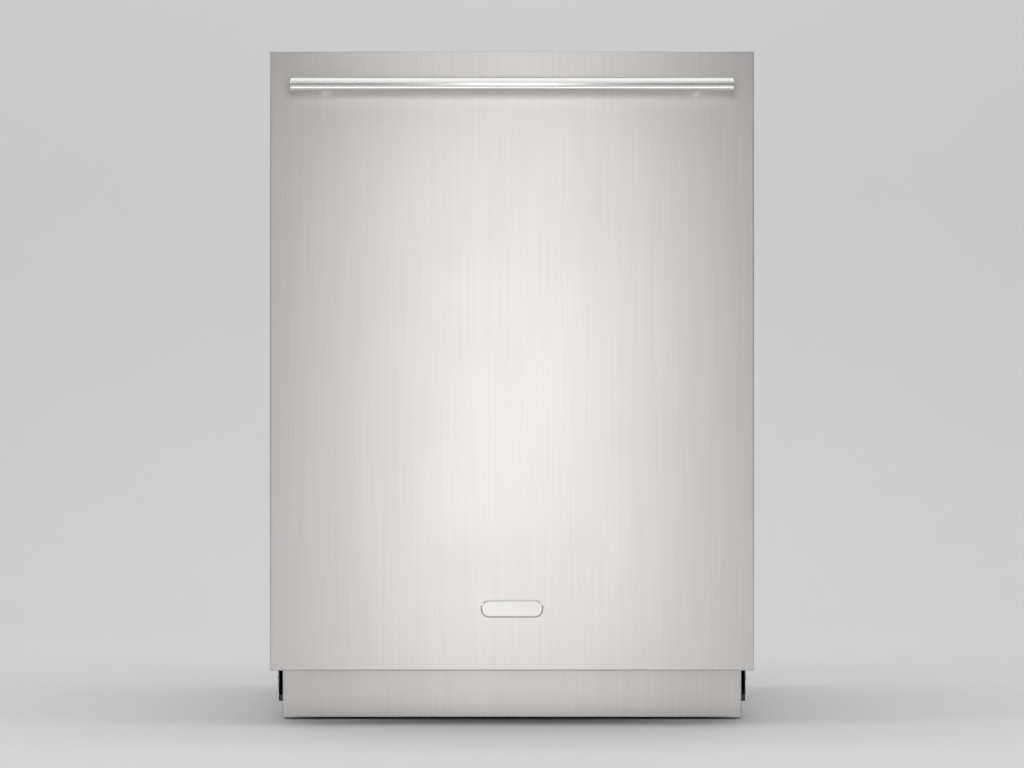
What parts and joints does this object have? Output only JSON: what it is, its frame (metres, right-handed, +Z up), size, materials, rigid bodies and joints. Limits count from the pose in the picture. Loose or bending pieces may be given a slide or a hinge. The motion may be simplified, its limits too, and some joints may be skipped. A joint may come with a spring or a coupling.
{
  "type": "panel-ready dishwasher",
  "caption": "Built-in dishwasher with a brushed steel door, bar handle, bare badge plate and kick plate; the drop-down door opens on a steel tub with wire racks, spray arms and filter.",
  "frame": {"origin": "on the floor under the middle of the closed machine's box", "axes": "+Z up, -Y out of the door's front, +X to the right as seen from the front"},
  "size_m": [0.603, 0.662, 0.842],
  "materials": {
    "panel_steel": "vertical brushed stainless",
    "handle_steel": "satin stainless",
    "badge_steel": "satin, bare",
    "tub_steel": "bright stainless",
    "casing_steel": "galvanised grey",
    "hinge_steel": "zinc plated",
    "dark_plastic": "moulded black",
    "grey_plastic": "moulded grey",
    "pale_plastic": "moulded pale grey",
    "rack_wire": "nylon coated wire",
    "rubber": "black rubber",
    "wool": "felt mat",
    "window": "dark tinted",
    "board": "circuit board"
  },
  "bodies": {
    "cabinet": {"kick_plate": "panel_steel", "tub": "tub_steel", "door_striker": "tub_steel", "left_side_panel": "casing_steel", "right_side_panel": "casing_steel", "rear_panel": "casing_steel", "countertop_brackets": "casing_steel", "hinge_brackets": "hinge_steel", "upper_rails": "tub_steel", "tray_rails": "tub_steel", "sound_blanket": "wool", "tub_gasket": "rubber", "base_frame": "dark_plastic", "sump": "grey_plastic", "circulation_pump": "dark_plastic", "drain_pump": "dark_plastic", "inlet_valve": "pale_plastic", "terminal_box": "grey_plastic", "filter_plate": "tub_steel", "wash_duct": "grey_plastic"},
    "door": {"door_panel": "panel_steel", "door_shell": "casing_steel", "door_liner": "tub_steel", "door_insulation": "wool", "control_console": "dark_plastic", "display_window": "window", "control_board": "board", "dispenser_body": "grey_plastic", "handle_bar": "handle_steel", "handle_posts": "handle_steel", "badge_plate": "badge_steel", "hinge_arms": "hinge_steel", "door_bottom_seal": "rubber"},
    "lower_rack": {"lower_rack": "rack_wire", "lower_tines": "rack_wire", "cutlery_basket": "grey_plastic"},
    "upper_rack": {"upper_rack": "rack_wire", "upper_tines": "rack_wire", "upper_slides": "pale_plastic", "middle_feed_pipe": "grey_plastic"},
    "cutlery_tray": {"cutlery_tray": "rack_wire", "tray_slides": "pale_plastic"},
    "detergent_lid": {"detergent_lid": "pale_plastic"},
    "rinse_cap": {"rinse_cap": "pale_plastic"},
    "latch_plunger": {"latch_plunger": "pale_plastic"},
    "power_button": {"power_button": "grey_plastic"},
    "cycle_button": {"cycle_button": "grey_plastic"},
    "option_button": {"option_button": "grey_plastic"},
    "start_button": {"start_button": "grey_plastic"},
    "filter_basket": {"filter_basket": "grey_plastic"},
    "float_cup": {"float_cup": "grey_plastic"},
    "lower_spray_arm": {"lower_spray_arm": "grey_plastic"},
    "top_spray_arm": {"top_spray_arm": "grey_plastic"},
    "middle_spray_arm": {"middle_spray_arm": "grey_plastic"},
    "front_left_foot": {"front_left_foot": "dark_plastic"},
    "front_right_foot": {"front_right_foot": "dark_plastic"},
    "rear_left_foot": {"rear_left_foot": "dark_plastic"},
    "rear_right_foot": {"rear_right_foot": "dark_plastic"},
    "lower_front_wheels": {"lower_front_wheels": "grey_plastic"},
    "lower_rear_wheels": {"lower_rear_wheels": "grey_plastic"}
  },
  "joints": [
    {"name": "door_hinge", "type": "hinge", "parent": "cabinet", "child": "door", "pos_m": [0, -0.225, 0.116], "axis": [1, 0, 0], "range_deg": [0, 90], "stiffness_Nm_per_rad": 24},
    {"name": "lower_rack_slide", "type": "slide", "parent": "cabinet", "child": "lower_rack", "axis": [0, -1, 0], "range_m": [0, 0.2357]},
    {"name": "upper_rack_slide", "type": "slide", "parent": "cabinet", "child": "upper_rack", "axis": [0, -1, 0], "range_m": [0, 0.4001]},
    {"name": "tray_slide", "type": "slide", "parent": "cabinet", "child": "cutlery_tray", "axis": [0, -1, 0], "range_m": [0, 0.4001]},
    {"name": "front_wheels_roll", "type": "hinge", "parent": "lower_rack", "child": "lower_front_wheels", "pos_m": [0, -0.068, 0.1663], "axis": [1, 0, 0], "range_deg": [0, 850]},
    {"name": "rear_wheels_roll", "type": "hinge", "parent": "lower_rack", "child": "lower_rear_wheels", "pos_m": [0, 0.212, 0.1663], "axis": [1, 0, 0], "range_deg": [0, 850]},
    {"name": "lower_arm_spin", "type": "hinge", "parent": "cabinet", "child": "lower_spray_arm", "pos_m": [0, 0.053, 0.171], "axis": [0, 0, 1], "continuous": true},
    {"name": "middle_arm_spin", "type": "hinge", "parent": "upper_rack", "child": "middle_spray_arm", "pos_m": [0, 0.053, 0.475], "axis": [0, 0, 1], "continuous": true},
    {"name": "top_arm_spin", "type": "hinge", "parent": "cabinet", "child": "top_spray_arm", "pos_m": [0, 0.053, 0.779], "axis": [0, 0, 1], "continuous": true},
    {"name": "filter_twist", "type": "hinge", "parent": "cabinet", "child": "filter_basket", "pos_m": [0.096, -0.039, 0.15], "axis": [0, 0, 1], "range_deg": [0, 90]},
    {"name": "float_lift", "type": "slide", "parent": "cabinet", "child": "float_cup", "axis": [0, 0, 1], "range_m": [0, 0.01]},
    {"name": "lid_slide", "type": "slide", "parent": "door", "child": "detergent_lid", "axis": [1, 0, 0], "range_m": [0, 0.104]},
    {"name": "rinse_turn", "type": "hinge", "parent": "door", "child": "rinse_cap", "pos_m": [0.062, -0.205, 0.481], "axis": [0, 1, 0], "range_deg": [0, 90]},
    {"name": "plunger_press", "type": "slide", "parent": "door", "child": "latch_plunger", "axis": [0, 0, -1], "range_m": [0, 0.004], "stiffness_N_per_m": 400},
    {"name": "power_press", "type": "slide", "parent": "door", "child": "power_button", "axis": [0, 0, -1], "range_m": [0, 0.001], "stiffness_N_per_m": 800},
    {"name": "cycle_press", "type": "slide", "parent": "door", "child": "cycle_button", "axis": [0, 0, -1], "range_m": [0, 0.001], "stiffness_N_per_m": 800},
    {"name": "option_press", "type": "slide", "parent": "door", "child": "option_button", "axis": [0, 0, -1], "range_m": [0, 0.001], "stiffness_N_per_m": 800},
    {"name": "start_press", "type": "slide", "parent": "door", "child": "start_button", "axis": [0, 0, -1], "range_m": [0, 0.001], "stiffness_N_per_m": 800},
    {"name": "front_left_level", "type": "slide", "parent": "cabinet", "child": "front_left_foot", "axis": [0, 0, -1], "range_m": [0, 0.015]},
    {"name": "front_right_level", "type": "slide", "parent": "cabinet", "child": "front_right_foot", "axis": [0, 0, -1], "range_m": [0, 0.015]},
    {"name": "rear_left_level", "type": "slide", "parent": "cabinet", "child": "rear_left_foot", "axis": [0, 0, -1], "range_m": [0, 0.015]},
    {"name": "rear_right_level", "type": "slide", "parent": "cabinet", "child": "rear_right_foot", "axis": [0, 0, -1], "range_m": [0, 0.015]}
  ],
  "couplings": [
    {"joint": "lower_rack_slide", "follows": "door_hinge", "m_per_rad": 0.15},
    {"joint": "upper_rack_slide", "follows": "door_hinge", "m_per_rad": 0.25465},
    {"joint": "tray_slide", "follows": "door_hinge", "m_per_rad": 0.25465},
    {"joint": "front_wheels_roll", "follows": "door_hinge", "ratio": 9.375},
    {"joint": "rear_wheels_roll", "follows": "door_hinge", "ratio": 9.375}
  ]
}
